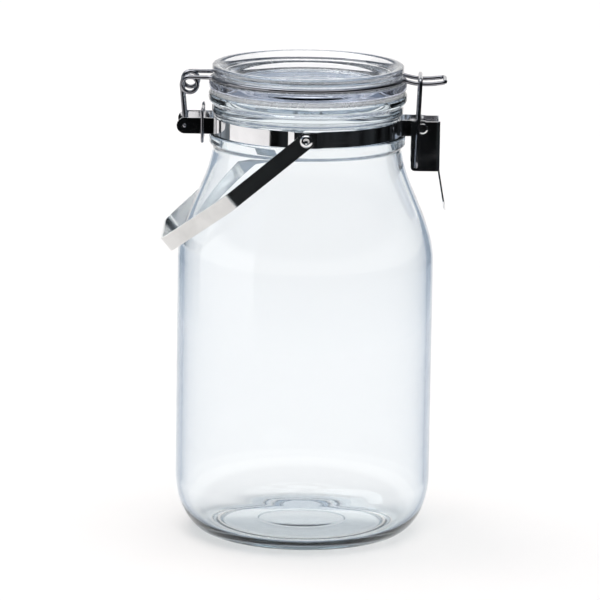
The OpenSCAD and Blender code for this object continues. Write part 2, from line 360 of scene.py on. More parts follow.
def even_normals(piece: Object) -> Object:
    """Shades wide flat faces flat, so that only their worn edges catch the light.

    Args:
        piece: The piece.

    Returns:
        The same piece.
    """
    even = piece.modifiers.new("even_normals", "WEIGHTED_NORMAL")
    even.weight = 100
    even.keep_sharp = True
    return apply_modifiers(piece)


def turned_pin(name: str, x: float, z: float, profile: Outline) -> Object:
    """Turns a pin or rivet whose middle line lies along Y.

    Args:
        name: The piece's name.
        x: Place of the middle line.
        z: Height of the middle line.
        profile: Its outline, each point a radius and a Y, from one end's middle to the other's.

    Returns:
        The pin.
    """
    bm = bmesh.new()
    line = [bm.verts.new((x + r, y, z)) for r, y in profile]
    edges = [bm.edges.new(pair) for pair in zip(line, line[1:])]
    bmesh.ops.spin(bm, geom=line + edges, cent=(x, 0, z), axis=(0, 1, 0), angle=math.tau, steps=48,
                   use_merge=True)
    bmesh.ops.remove_doubles(bm, verts=bm.verts[:], dist=1e-6)
    bmesh.ops.recalc_face_normals(bm, faces=bm.faces[:])
    return as_object(name, bm, 35.0)


# ---- finishes


def new_group(name: str, inputs: dict[str, float], outputs: Sequence[str]) -> NodeTree:
    """Starts a shader node group with named sockets.

    Args:
        name: The group's name.
        inputs: Each input's name and default.
        outputs: Each output's name. A normal is a vector and the rest are values.

    Returns:
        The group, with its input and output nodes placed.
    """
    tree = bpy.data.node_groups.new(name, "ShaderNodeTree")
    for label, default in inputs.items():
        socket = tree.interface.new_socket(label, in_out="INPUT", socket_type="NodeSocketFloat")
        socket.default_value = default
    for label in outputs:
        kind = "NodeSocketVector" if label == "Normal" else "NodeSocketFloat"
        tree.interface.new_socket(label, in_out="OUTPUT", socket_type=kind)
    tree.nodes.new("NodeGroupInput").name = "in"
    tree.nodes.new("NodeGroupOutput").name = "out"
    return tree


def plug(node: Node, values: dict[str | int, object]) -> Node:
    """Sets a node's inputs.

    Args:
        node: The node.
        values: By each input's name or number, its value or the socket that feeds it.

    Returns:
        The same node.
    """
    for label, value in values.items():
        if isinstance(value, NodeSocket):
            node.id_data.links.new(value, node.inputs[label])
        else:
            node.inputs[label].default_value = value
    return node


def math_node(tree: NodeTree, operation: str, a: object, b: object, clamp: bool = False) -> NodeSocket:
    """Adds a math node.

    Args:
        tree: The node tree.
        operation: The node's operation.
        a: First socket or number.
        b: Second socket or number.
        clamp: True to keep the result from 0 to 1.

    Returns:
        The result's socket.
    """
    node = tree.nodes.new("ShaderNodeMath")
    node.operation = operation
    node.use_clamp = clamp
    return plug(node, {0: a, 1: b}).outputs[0]


def noise_node(tree: NodeTree, scale: object, detail: float,
               stretch: Sequence[float] = (1, 1, 1)) -> NodeSocket:
    """Adds a noise texture over a stretched piece.

    Args:
        tree: The node tree.
        scale: Repeats in each metre, a socket or a number.
        detail: Octaves of noise.
        stretch: Scale of each axis.

    Returns:
        The noise's value.
    """
    place = tree.nodes.new("ShaderNodeTexCoord").outputs["Object"]
    mapping = plug(tree.nodes.new("ShaderNodeMapping"), {"Vector": place, "Scale": stretch})
    noise = tree.nodes.new("ShaderNodeTexNoise")
    return plug(noise, {"Vector": mapping.outputs[0], "Scale": scale, "Detail": detail}).outputs[0]


def blend(tree: NodeTree, share: NodeSocket, base: Colour, over: Colour) -> NodeSocket:
    """Adds a blend of two colours.

    Args:
        tree: The node tree.
        share: How much of the second colour shows, from 0 to 1.
        base: The first colour.
        over: The second colour.

    Returns:
        The colour's socket.
    """
    node = tree.nodes.new("ShaderNodeMix")
    node.data_type = "RGBA"
    return plug(node, {"Factor": share, "A": (*base, 1), "B": (*over, 1)}).outputs["Result"]


def smudge_group() -> NodeTree:
    """Makes patchy handling marks: a value that wanders between a low and a high roughness.

    Returns:
        The group.
    """
    tree = new_group("handling_marks", {"Low": 0.02, "High": 0.1, "Scale": 60.0}, ("Roughness", "Mask"))
    given = tree.nodes["in"].outputs
    clouds = noise_node(tree, given["Scale"], 5.0)
    mask = math_node(tree, "MULTIPLY", math_node(tree, "SUBTRACT", clouds, 0.42), 3.2, clamp=True)
    span = math_node(tree, "SUBTRACT", given["High"], given["Low"])
    rough = math_node(tree, "ADD", given["Low"], math_node(tree, "MULTIPLY", mask, span))
    plug(tree.nodes["out"], {"Roughness": rough, "Mask": mask})
    return tree


def ripple_group() -> NodeTree:
    """Makes the faint waves left on glass and rolled steel, as a normal.

    Returns:
        The group.
    """
    tree = new_group("surface_ripple", {"Strength": 0.1, "Distance": 0.0002, "Scale": 40.0}, ("Normal",))
    given = tree.nodes["in"].outputs
    waves = noise_node(tree, given["Scale"], 1.5, (1, 1, 0.45))
    bump = plug(tree.nodes.new("ShaderNodeBump"),
                {"Height": waves, "Strength": given["Strength"], "Distance": given["Distance"]})
    plug(tree.nodes["out"], {"Normal": bump.outputs[0]})
    return tree


def grain_group() -> NodeTree:
    """Makes fine drawn lines along one direction of a steel piece, as a value.

    Returns:
        The group.
    """
    tree = new_group("drawn_grain", {"Low": 0.1, "High": 0.3}, ("Roughness", "Height"))
    given = tree.nodes["in"].outputs
    lines = math_node(tree, "MULTIPLY", noise_node(tree, 90.0, 4.0, (1, 1, 26)), 0.7)
    specks = math_node(tree, "MULTIPLY", noise_node(tree, 1500.0, 2.0), 0.3)
    mixed = math_node(tree, "ADD", lines, specks)
    span = math_node(tree, "SUBTRACT", given["High"], given["Low"])
    rough = math_node(tree, "ADD", given["Low"], math_node(tree, "MULTIPLY", mixed, span))
    plug(tree.nodes["out"], {"Roughness": rough, "Height": mixed})
    return tree


@dataclass
class Effects:
    """The node groups that the finishes share."""

    smudges: NodeTree = field(default_factory=smudge_group)
    ripple: NodeTree = field(default_factory=ripple_group)
    grain: NodeTree = field(default_factory=grain_group)

    def place(self, tree: NodeTree, effect: NodeTree, values: dict[str, float]) -> dict[str, NodeSocket]:
        """Puts one effect into a material.

        Args:
            tree: The material's nodes.
            effect: One of the shared groups.
            values: The group's inputs.

        Returns:
            The placed group's outputs.
        """
        node = tree.nodes.new("ShaderNodeGroup")
        node.node_tree = effect
        return plug(node, values).outputs


def start_material(name: str) -> tuple[Material, Node, Node]:
    """Makes an empty node material.

    Args:
        name: The material's name.

    Returns:
        The material, its Principled BSDF and its output node.
    """
    material = bpy.data.materials.new(name)
    material.use_nodes = True
    nodes = material.node_tree.nodes
    return material, nodes["Principled BSDF"], nodes["Material Output"]


@dataclass(frozen=True)
class GlassFinish:
    """Clear pressed glass.

    Thick glass takes up a tint, and shadow rays pass so that the floor stays bright.
    """

    name: str
    tint: Colour
    density: float
    ripple: float
    shade: float = 0.03

    def make(self, effects: Effects) -> Material:
        """Builds the glass material.

        Args:
            effects: The shared node groups.

        Returns:
            The material.
        """
        material, glass, output = start_material(self.name)
        tree = material.node_tree
        marks = effects.place(tree, effects.smudges, {"Low": 0.0, "High": 0.02, "Scale": 24.0})
        waves = effects.place(tree, effects.ripple,
                              {"Strength": self.ripple, "Distance": 0.0006, "Scale": 26.0})
        plug(glass, {"Base Color": (0.985, 0.995, 1.0, 1), "Transmission Weight": 1, "IOR": 1.5,
                     "Roughness": marks["Roughness"], "Normal": waves["Normal"]})
        lit = 1 - self.shade
        clear = plug(tree.nodes.new("ShaderNodeBsdfTransparent"), {0: (lit, lit, lit, 1)})
        rays = tree.nodes.new("ShaderNodeLightPath")
        mix = plug(tree.nodes.new("ShaderNodeMixShader"),
                   {0: rays.outputs["Is Shadow Ray"], 1: glass.outputs[0], 2: clear.outputs[0]})
        body = plug(tree.nodes.new("ShaderNodeVolumeAbsorption"),
                    {"Color": (*self.tint, 1), "Density": self.density})
        plug(output, {"Surface": mix.outputs[0], "Volume": body.outputs[0]})
        return material


@dataclass(frozen=True)
class SteelFinish:
    """Stainless steel, from mirror bright to brushed."""

    name: str
    colour: Colour
    low: float
    high: float
    brushed: bool = False
    ripple: float = 0.06
    marked: float = 0.88

    def make(self, effects: Effects) -> Material:
        """Builds the steel material.

        Args:
            effects: The shared node groups.

        Returns:
            The material.
        """
        material, steel, _ = start_material(self.name)
        tree = material.node_tree
        marks = effects.place(tree, effects.smudges, {"Low": self.low, "High": self.high, "Scale": 90.0})
        dull = tuple(c * self.marked for c in self.colour)
        plug(steel, {"Metallic": 1, "Base Color": blend(tree, marks["Mask"], self.colour, dull)})
        if self.brushed:
            grain = effects.place(tree, effects.grain, {"Low": self.low, "High": self.high})
            bump = plug(tree.nodes.new("ShaderNodeBump"),
                        {"Strength": 0.12, "Distance": 0.0001, "Height": grain["Height"]})
            plug(steel, {"Roughness": grain["Roughness"], "Normal": bump.outputs[0]})
        else:
            waves = effects.place(tree, effects.ripple,
                                  {"Strength": self.ripple, "Distance": 0.0003, "Scale": 120.0})
            plug(steel, {"Roughness": marks["Roughness"], "Normal": waves["Normal"]})
        return material


@dataclass(frozen=True)
class SealFinish:
    """Milky clear silicone."""

    name: str = "milky_silicone"

    def make(self, effects: Effects) -> Material:
        """Builds the silicone material.

        Args:
            effects: The shared node groups.

        Returns:
            The material.
        """
        material, rubber, _ = start_material(self.name)
        tree = material.node_tree
        marks = effects.place(tree, effects.smudges, {"Low": 0.25, "High": 0.5, "Scale": 140.0})
        plug(rubber, {"Base Color": (0.93, 0.94, 0.95, 1), "Transmission Weight": 0.65, "IOR": 1.41,
                      "Roughness": marks["Roughness"]})
        return material


@dataclass
class Finishes:
    """Every finish of the canister, made once."""

    effects: Effects = field(default_factory=Effects)

    def __post_init__(self) -> None:
        """Makes the materials."""
        self.jar_glass = GlassFinish("jar_glass", (0.56, 0.8, 0.88), 12.0, 0.035).make(self.effects)
        self.lid_glass = GlassFinish("lid_glass", (0.8, 0.82, 0.94), 8.0, 0.015).make(self.effects)
        self.seal = SealFinish().make(self.effects)
        self.strap = SteelFinish("bright_strap", (0.84, 0.84, 0.85), 0.04, 0.14).make(self.effects)
        # painted shade: the wire's base colour is darkened to stand in for the dark surroundings that its
        # bright steel mirrors
        self.wire = SteelFinish("drawn_wire_painted_shade", (0.27, 0.27, 0.29), 0.1, 0.22).make(self.effects)
        self.rivet = SteelFinish("polished_rivet", (0.8, 0.8, 0.8), 0.06, 0.16).make(self.effects)
        self.handle = SteelFinish("brushed_strip", (0.7, 0.7, 0.69), 0.05, 0.13, True).make(self.effects)


def settle(piece: Object, body: Body, slot: str, material: Material,
           *nodes: str) -> None:
    """Dresses a finished piece, sets it on its body and hides the nodes that it stands for.

    Args:
        piece: The piece.
        body: What it rides on.
        slot: The record's material slot. Not used.
        material: Its finish.
        nodes: The frame's nodes that it replaces.
    """
    piece.data.materials.clear()
    piece.data.materials.append(material)
    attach(piece, body.value)
    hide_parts(*nodes)
    LOG.info("%s: %d faces on %s", piece.name, len(piece.data.polygons), body.value)


# ---- the canister's pieces


@dataclass
class Fit:
    """Places that several pieces share."""

    body_r: float
    jar_top: float
    lid_bottom: float
    lid_top: float
    flange_r: float
    mouth_r: float
    groove_r: float
    strap_z: float
    strap_h: float
    hinge: Vector
    lever_pin: Vector
    bail_pin: Vector

    @classmethod
    def read(cls, frame: dict, land_w: float = 9 * MM, groove_in: float = 3.4 * MM) -> "Fit":
        """Takes the places from the frame's boxes and joints.

        Args:
            land_w: Width of the sealing land between the mouth and the flange's edge.
            groove_in: Depth of the strap's groove below the flange's edge.

        Returns:
            The fit.
        """
        places = {j["name"]: Vector(j["pos_m"]) for j in frame["joints"]}
        jar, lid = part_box("jar")[1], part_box("lid")[1]
        low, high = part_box("strap_front")
        return cls(body_r=jar.x, jar_top=jar.z, lid_bottom=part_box("gasket")[1].z, lid_top=lid.z,
                   flange_r=lid.x, mouth_r=lid.x - land_w, groove_r=lid.x - groove_in,
                   strap_z=(low.z + high.z) / 2, strap_h=high.z - low.z, hinge=places["lid_hinge"],
                   lever_pin=places["latch_lever"], bail_pin=places["bail_pivot"])


@dataclass
class Group:
    """A group of pieces that are made together."""

    fit: Fit
    finishes: Finishes


@dataclass
class Jar(Group):
    """The blown glass jar."""

    wall: float = 3.4 * MM
    floor: float = 5.2 * MM
    foot_r: float = 52 * MM
    foot_w: float = 6 * MM
    heel_h: float = 33 * MM
    floor_r: float = 54 * MM
    corner_h: float = 24 * MM
    push_up: float = 3 * MM
    mark_r: float = 25 * MM
    notch_in: float = 1.6 * MM
    notch_w: float = 0.4 * MM
    notch_h: float = 0.45 * MM
    shoulder_h: float = 64 * MM
    lip_h: float = 4.5 * MM
    bead_h: float = 5.4 * MM
    bead_slope: float = 3 * MM
    groove_gap: float = 0.2 * MM
    neck_out: float = 0.7 * MM

    def __post_init__(self) -> None:
        """Works out the places that the two faces share."""
        self.groove_z = self.fit.strap_z - self.fit.strap_h / 2 - self.groove_gap
        self.neck_z = self.groove_z - self.bead_h - self.bead_slope
        self.body_top = self.neck_z - self.shoulder_h
        self.neck_r = self.fit.groove_r + self.neck_out

    def outside(self) -> Outline:
        """Draws the outer face.

        Returns:
            Its profile, from the foot to the sealing land.
        """
        fit, mm, neck, neck_z, groove_z = self.fit, MM, self.neck_r, self.neck_z, self.groove_z
        strap_top = fit.strap_z + fit.strap_h / 2
        bead = fit.groove_r + 2.9 * mm
        collar = fit.groove_r + 1.5 * mm
        lip = fit.jar_top - self.lip_h
        heel = ellipse((self.foot_r, self.heel_h), (fit.body_r - self.foot_r, self.heel_h), -90, 0, 26)
        slope = bezier((fit.body_r, self.body_top), (fit.body_r, self.body_top + self.shoulder_h * 0.36),
                       (neck + 2.2 * mm, self.body_top + self.shoulder_h * 0.66), (neck, neck_z), 30)
        rings = soften([(neck, neck_z), (neck + 0.3 * mm, neck_z + 1.6 * mm),
                        (bead, neck_z + 2.6 * mm), (bead, groove_z - 0.2 * mm),
                        (fit.groove_r, groove_z + 0.2 * mm), (fit.groove_r, strap_top + 1.6 * mm),
                        (collar, strap_top + 2.8 * mm), (collar, lip - 1.4 * mm),
                        (fit.flange_r, lip + 0.4 * mm), (fit.flange_r, fit.jar_top),
                        (fit.flange_r - 3 * mm, fit.jar_top)], 1.1 * mm)
        return heel + slope[:-1] + rings

    def inside(self) -> Outline:
        """Draws the inner face.

        Returns:
            Its profile, from the sealing land down to the floor's centre.
        """
        fit, mm, floor_r, floor_z = self.fit, MM, self.floor_r, self.floor
        neck, body = self.neck_r - self.wall, fit.body_r - self.wall
        mouth = soften([(fit.mouth_r + 3 * mm, fit.jar_top), (fit.mouth_r, fit.jar_top),
                        (fit.mouth_r, fit.jar_top - self.lip_h - 1 * mm),
                        (fit.groove_r - 4 * mm, fit.jar_top - self.lip_h - 6 * mm),
                        (neck, self.neck_z)], 1.6 * mm)
        slope = bezier((neck, self.neck_z), (neck + 2.2 * mm, self.body_top + self.shoulder_h * 0.66),
                       (body, self.body_top + self.shoulder_h * 0.34), (body, self.body_top), 30)
        heel = ellipse((floor_r, floor_z + self.corner_h), (body - floor_r, self.corner_h), 0, -90, 26)
        floor = soften([(floor_r, floor_z), (floor_r - 6 * mm, floor_z + 0.3 * mm),
                        (self.mark_r + 8 * mm, floor_z + 1.5 * mm),
                        (self.mark_r, floor_z + 2.2 * mm), (0, floor_z + self.push_up)], 4 * mm)
        return mouth + slope[1:] + heel + floor[1:]

    def underside(self) -> Outline:
        """Draws the hollow underneath, with its centre mark, and the ring that the jar stands on.

        Returns:
            Its profile, from the centre out.
        """
        mm, low_r = MM, self.foot_r - self.foot_w
        hollow = soften([(0, self.push_up), (self.mark_r - 1.2 * mm, self.push_up - 0.2 * mm),
                         (self.mark_r - 0.6 * mm, self.push_up - 0.5 * mm),
                         (self.mark_r + 0.6 * mm, self.push_up - 0.6 * mm),
                         (low_r - 3 * mm, 1.3 * mm), (low_r - 1 * mm, 0.9 * mm), (low_r, 0)], 1.0 * mm, 4)
        ring = [(r, 0.0) for row in self.notch_rows() for r in (row, row + self.notch_w)]
        return hollow + ring

    def notch_rows(self) -> tuple[float, float]:
        """Radii where the grip notches in the standing ring begin and end."""
        return self.foot_r - self.foot_w + self.notch_in, self.foot_r - self.notch_in

    def cut_notches(self, piece: Object) -> None:
        """Lifts every second stretch of the standing ring into a small notch.

        Args:
            piece: The jar.
        """
        inner, outer = self.notch_rows()
        for vertex in piece.data.vertices:
            x, y, z = vertex.co
            turn = round((math.atan2(y, x) / math.tau) * TURN_STEPS)
            if z < 1e-6 and inner + 0.3 * MM < math.hypot(x, y) < outer + 0.1 * MM and turn % 2:
                vertex.co.z = self.notch_h

    def build(self) -> None:
        """Makes the jar."""
        piece = revolve("glass_jar", self.underside() + self.outside() + self.inside())
        self.cut_notches(piece)
        settle(piece, Body.VESSEL, "jar_glass", self.finishes.jar_glass, "jar")


@dataclass
class Lid(Group):
    """The pressed glass lid and its silicone ring."""

    skirt_h: float = 5.2 * MM
    wire_d: float = 2.3 * MM
    plug_h: float = 5.5 * MM

    def profile(self) -> list[Vector]:
        """Draws the lid.

        Returns:
            Its profile, from the middle of its underside to the middle of its top.
        """
        fit, mm = self.fit, MM
        rim = fit.groove_r + 1.5 * mm
        waist = fit.groove_r - 0.2 * mm
        plug = fit.mouth_r - 3 * mm
        skirt = fit.lid_bottom + self.skirt_h
        dish = fit.lid_top - 9.5 * mm
        under = [(0, dish - 3.6 * mm), (plug * 0.55, dish - 4.0 * mm), (plug * 0.6, dish - 4.8 * mm),
                 (plug - 5 * mm, dish - 5 * mm), (plug - 3.6 * mm, fit.lid_bottom - self.plug_h),
                 (plug, fit.lid_bottom - self.plug_h), (plug, fit.lid_bottom)]
        edge = [(fit.flange_r, fit.lid_bottom), (fit.flange_r, skirt), (waist, skirt),
                (waist, skirt + self.wire_d), (rim, fit.lid_top - 4.2 * mm), (rim, fit.lid_top),
                (rim - 3.6 * mm, fit.lid_top)]
        bowl = [(rim - 5.6 * mm, fit.lid_top - 1.6 * mm), (rim - 8 * mm, fit.lid_top - 4.6 * mm),
                (rim - 12.5 * mm, fit.lid_top - 5.6 * mm), (rim - 14 * mm, fit.lid_top - 8.8 * mm),
                (rim - 17.5 * mm, dish), (rim - 22 * mm, dish + 0.2 * mm), (0, dish + 1 * mm)]
        return soften(under + edge + bowl, 1.1 * mm)

    def build(self) -> None:
        """Makes the lid and its seal."""
        lid = revolve("glass_lid", self.profile())
        settle(lid, Body.LID, "lid_glass", self.finishes.lid_glass, "lid")
        low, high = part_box("gasket")
        outer, inner = high.x, self.fit.mouth_r + 1 * MM
        ring = soften([(inner + 2 * MM, low.z), (outer, low.z), (outer, high.z), (inner, high.z),
                       (inner, low.z), (inner + 1.9 * MM, low.z)], 0.7 * MM)
        seal = revolve("seal_ring", ring, closed=True)
        settle(seal, Body.LID, "clear_seal", self.finishes.seal, "gasket")


@dataclass
class NeckStrap(Group):
    """The two half straps, the wire that holds their ears, and the rivets of the handle."""

    sheet: float = 0.8 * MM
    edge: float = 0.16 * MM
    inset: float = 3.2 * MM
    hinge_ear_y: float = 12.1 * MM
    latch_ear_y: float = 9.2 * MM
    pad_w: float = 13 * MM
    pad_slope: float = 3 * MM
    pad_out: float = 1.8 * MM

    def half_path(self) -> Path3:
        """Draws the front half strap.

        Returns:
            The middle of its sheet, from the hinge ear round to the latch ear.
        """
        fit, half = self.fit, self.sheet / 2
        radius = fit.flange_r - self.inset + half
        hinge_y, latch_y = -self.hinge_ear_y - half, -self.latch_ear_y - half
        start, end = math.asin(-hinge_y / radius), math.pi - math.asin(-latch_y / radius)
        slope = math.asin((self.pad_w / 2 + self.pad_slope) / radius)
        pad_start, pad_end = QUARTER - slope, QUARTER + slope

        def spot(x: float, y: float) -> Vector:
            """A point at the strap's height."""
            return Vector((x, y, fit.strap_z))

        def on_neck(angle: float) -> Vector:
            """A point on the glass, by its angle from the hinge."""
            return spot(-radius * math.cos(angle), -radius * math.sin(angle))

        def arc(first: float, last: float, steps: int = 40) -> Path3:
            """Even points on the glass from one angle to another."""
            return [on_neck(first + (last - first) * i / steps) for i in range(steps + 1)]

        ear = soften([spot(fit.hinge.x - fit.strap_h / 2, hinge_y), spot(-radius * math.cos(start), hinge_y),
                      on_neck(start + 0.06)], 1.2 * MM)
        pad_y = -radius - self.pad_out
        pad = soften([on_neck(pad_start - 0.05), on_neck(pad_start), spot(-self.pad_w / 2, pad_y),
                      spot(self.pad_w / 2, pad_y), on_neck(pad_end), on_neck(pad_end + 0.05)], 1.4 * MM)
        tail = soften([on_neck(end - 0.07), spot(-radius * math.cos(end), latch_y),
                       spot(fit.lever_pin.x + fit.strap_h / 2, latch_y)], 1.2 * MM)
        left, right = arc(start + 0.075, pad_start - 0.055), arc(pad_end + 0.055, end - 0.075)
        return close_ends(ear + left + pad + right + tail, fit.strap_h / 2, 10)

    def build(self) -> None:
        """Makes every piece of the strap."""
        path = self.half_path()
        half_height = round_ends(lengths_along(path)[-1], self.fit.strap_h / 2)
        for side in Side:
            node = f"strap_{side.name.lower()}"
            route = [Vector((p.x, p.y * -side.value, p.z)) for p in path]
            piece = bent_strip("neck_" + node, route, Vector((0, 0, 1)), lambda s: -half_height(s),
                               half_height, self.sheet, self.edge)
            settle(piece, Body.VESSEL, "strap_steel", self.finishes.strap, node)
        self.keeper()
        for side in Side:
            self.rivet(side)

    def keeper(self) -> None:
        """Makes the wire loop round the two hinge ears."""
        low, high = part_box("strap_keeper")
        radius = (high.x - low.x) / 2
        x = (high.x + low.x) / 2
        y, bottom, top = high.y - radius, low.z + radius, high.z - radius
        corners = [(x, 0, top), (x, y, top), (x, y, bottom), (x, -y, bottom), (x, -y, top), (x, 0, top)]
        piece = bent_wire("ear_keeper", soften(corners, 2.2 * MM), radius)
        settle(piece, Body.VESSEL, "wire_steel", self.finishes.wire, "strap_keeper")

    def rivet(self, side: Side) -> None:
        """Makes one of the handle's rivets: tail, collar and domed head.

        Args:
            side: The side of the jar that it is on.
        """
        node = f"rivet_{side.name.lower()}"
        low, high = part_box(node)
        outer = low.y if side is Side.FRONT else high.y
        inward = -side.value * MM
        shape = [(0, 0.75), (1.0, 0.7), (1.35, 0.25), (1.8, 0.0), (2.7, 0.2), (3.4, 0.75), (3.6, 1.4),
                 (2.0, 1.4), (2.0, 3.0), (3.2, 3.05), (3.2, 4.1), (2.0, 4.1), (2.0, 4.9), (3.1, 4.9),
                 (3.1, 5.5), (2.6, 5.8), (0, 5.8)]
        rounded = soften([(r * MM, outer + y * inward) for r, y in shape], 0.22 * MM, 3)
        piece = turned_pin("handle_" + node, 0, self.fit.strap_z, rounded)
        settle(piece, Body.VESSEL, "rivet_steel", self.finishes.rivet, node)


@dataclass
class LidWire(Group):
    """The one wire that hinges and holds the lid."""

    radius: float = 1.15 * MM
    end_y: float = 13.7 * MM
    strand_y: float = 10.7 * MM
    tongue_y: float = 10 * MM
    ring_in: float = 3.6 * MM
    ring_gap: float = 0.6 * MM
    ring_up: float = 5.3 * MM
    coil_r: float = 4.35 * MM
    coil_in: float = 2.4 * MM
    coil_gap: float = 0.2 * MM
    turns: float = 1.25
    dip: float = 1.9 * MM
    seat_out: float = 7 * MM
    seat_l: float = 8 * MM
    tongue_l: float = 15.9 * MM
    turn_up: float = 1.1 * MM

    def half_path(self) -> Path3:
        """Draws the front half of the wire.

        Returns:
            Its middle line: ear, leg, coil, strand, lid ring and tongue.
        """
        fit, mm = self.fit, MM
        ring_r = fit.flange_r - self.ring_in + self.radius + self.ring_gap
        ring_z = fit.lid_bottom + self.ring_up + self.radius
        leg_y = self.strand_y - self.turns * (2 * self.radius + self.coil_gap)
        coil_x, coil_z = fit.hinge.x + self.coil_in, ring_z - self.coil_r
        start, end = math.asin(self.strand_y / ring_r), math.pi - math.asin(self.tongue_y / ring_r)
        path = soften([(fit.hinge.x, -self.end_y, fit.hinge.z), (fit.hinge.x, -leg_y, fit.hinge.z),
                       (coil_x - self.coil_r, -leg_y, coil_z - 1 * mm)], 2 * mm)
        steps = 64
        for i in range(steps + 1):
            t = i / steps
            a = math.pi - math.tau * self.turns * t
            path.append(Vector((coil_x + self.coil_r * math.cos(a), -leg_y - (self.strand_y - leg_y) * t,
                                coil_z + self.coil_r * math.sin(a))))

        def on_ring(angle: float) -> Vector:
            """A point on the ring round the lid, by its angle from the hinge."""
            return Vector((-ring_r * math.cos(angle), -ring_r * math.sin(angle), ring_z))

        path += soften([(coil_x + 2 * mm, -self.strand_y, ring_z),
                        (-ring_r * math.cos(start), -self.strand_y, ring_z),
                        on_ring(start + 0.16)], 6 * mm, 10)
        first, last = start + 0.17, end - 0.17
        path += [on_ring(first + (last - first) * i / 110) for i in range(111)]
        tongue_z = ring_z - self.dip
        seat = ring_r + self.seat_out
        tip = seat + self.tongue_l
        path += soften([on_ring(end - 0.16), (-ring_r * math.cos(end), -self.tongue_y, ring_z),
                        (seat, -self.tongue_y, tongue_z), (seat + self.seat_l, -self.tongue_y, tongue_z),
                        (tip, -self.tongue_y, tongue_z + self.turn_up),
                        (tip, 0, tongue_z + self.turn_up)], 4 * mm, 10)
        return path

    def build(self) -> None:
        """Makes the lid wire from its half path and the mirror of it."""
        piece = bent_wire("lid_ring_wire", mirrored(self.half_path()), self.radius)
        settle(piece, Body.LID, "wire_steel", self.finishes.wire, "lid_wire")


@dataclass
class Latch(Group):
    """The lever, its pin and the bail."""

    sheet: float = 1 * MM
    width: float = 22.2 * MM
    height: float = 28 * MM
    top_rise: float = 4 * MM
    cheek_in: float = 6.3 * MM
    back_out: float = 9.9 * MM
    corner: float = 2.4 * MM
    tab_l: float = 23 * MM
    tab_w: float = 18 * MM
    tab_out: float = 4 * MM
    tab_corner: float = 5 * MM
    edge: float = 0.2 * MM
    wire_r: float = 1.15 * MM
    wire_gap: float = 0.4 * MM

    def channel(self) -> Object:
        """Folds the channel.

        Returns:
            The channel, with the inner corners of its cheeks rounded at the bottom.
        """
        fit, half, corner = self.fit, self.sheet / 2, self.corner
        middle = fit.strap_z + self.top_rise - self.height / 2
        inner, back = fit.lever_pin.x - self.cheek_in, fit.lever_pin.x + self.back_out - half
        y = self.width / 2 - half
        turn = soften([(inner, -y, middle), (back, -y, middle), (back, y, middle), (inner, y, middle)],
                      1.8 * MM, 6)
        path = close_ends(turn, corner, 8)
        total = lengths_along(path)[-1]

        def low(s: float) -> float:
            """The channel's lower edge, which curves up to its two ends."""
            inset = corner - min(s, total - s, corner)
            return -self.height / 2 + corner - math.sqrt(max(corner ** 2 - inset ** 2, 0))

        return bent_strip("lever_channel", path, Vector((0, 0, 1)), low, lambda s: self.height / 2,
                          self.sheet, self.edge)

    def tab(self) -> Object:
        """Folds the thumb tab.

        Returns:
            The tab, with the corners of its free end rounded.
        """
        back = self.fit.lever_pin.x + self.back_out - self.sheet / 2
        bottom = self.fit.strap_z + self.top_rise - self.height
        route = soften([(back, 0, bottom + 2.4 * MM), (back, 0, bottom - 0.4 * MM),
                        (back + self.tab_out, 0, bottom - self.tab_l)], 2 * MM, 8)
        route = route[:-1] + [route[-2].lerp(route[-1], i / 14) for i in range(1, 15)]
        span, corner = lengths_along(route)[-1], self.tab_corner

        def half_width(s: float) -> float:
            """The tab's half width, which narrows at its free end."""
            inset = max(0.0, corner - (span - s))
            return self.tab_w / 2 - corner + math.sqrt(max(corner ** 2 - inset ** 2, 0))

        return bent_strip("lever_tab", route, Vector((0, 1, 0)), lambda s: -half_width(s), half_width,
                          self.sheet, self.edge)

    def lever(self) -> None:
        """Makes the lever, whose folds are one piece of sheet."""
        bm = bmesh.new()
        for fold in (self.channel(), self.tab()):
            bm.from_mesh(fold.data)
            bpy.data.objects.remove(fold)
        piece = even_normals(as_object("latch_lever_plate", bm, 60.0))
        settle(piece, Body.LEVER, "strap_steel", self.finishes.strap, "latch_lever")

    def pin(self) -> None:
        """Makes the lever's pin, with a shallow head at each end."""
        low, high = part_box("latch_pin")
        half = [(0, 0), (2.2, 0.0), (2.8, 0.2), (3.0, 0.6), (1.5, 0.6)]
        shape = ([(r * MM, low.y + y * MM) for r, y in half]
                 + [(r * MM, high.y - y * MM) for r, y in reversed(half)])
        piece = turned_pin("lever_pin", self.fit.lever_pin.x, self.fit.lever_pin.z,
                           soften(shape, 0.15 * MM, 3))
        settle(piece, Body.VESSEL, "rivet_steel", self.finishes.rivet, "latch_pin")

    def bail(self) -> None:
        """Makes the wire that pulls the lid wire's tongue down."""
        _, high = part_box("latch_bail")
        x, y, z = (side - self.wire_r for side in high)
        stub = self.width / 2 - self.sheet - self.wire_gap
        foot = self.fit.bail_pin
        half = soften([(foot.x, -stub, foot.z), (foot.x, -y, foot.z), (x, -y, z), (x, 0, z)], 3.4 * MM, 10)
        piece = bent_wire("bail_wire", mirrored(half), self.wire_r)
        settle(piece, Body.BAIL, "wire_steel", self.finishes.wire, "latch_bail")

    def build(self) -> None:
        """Makes the latch."""
        self.lever()
        self.pin()
        self.bail()


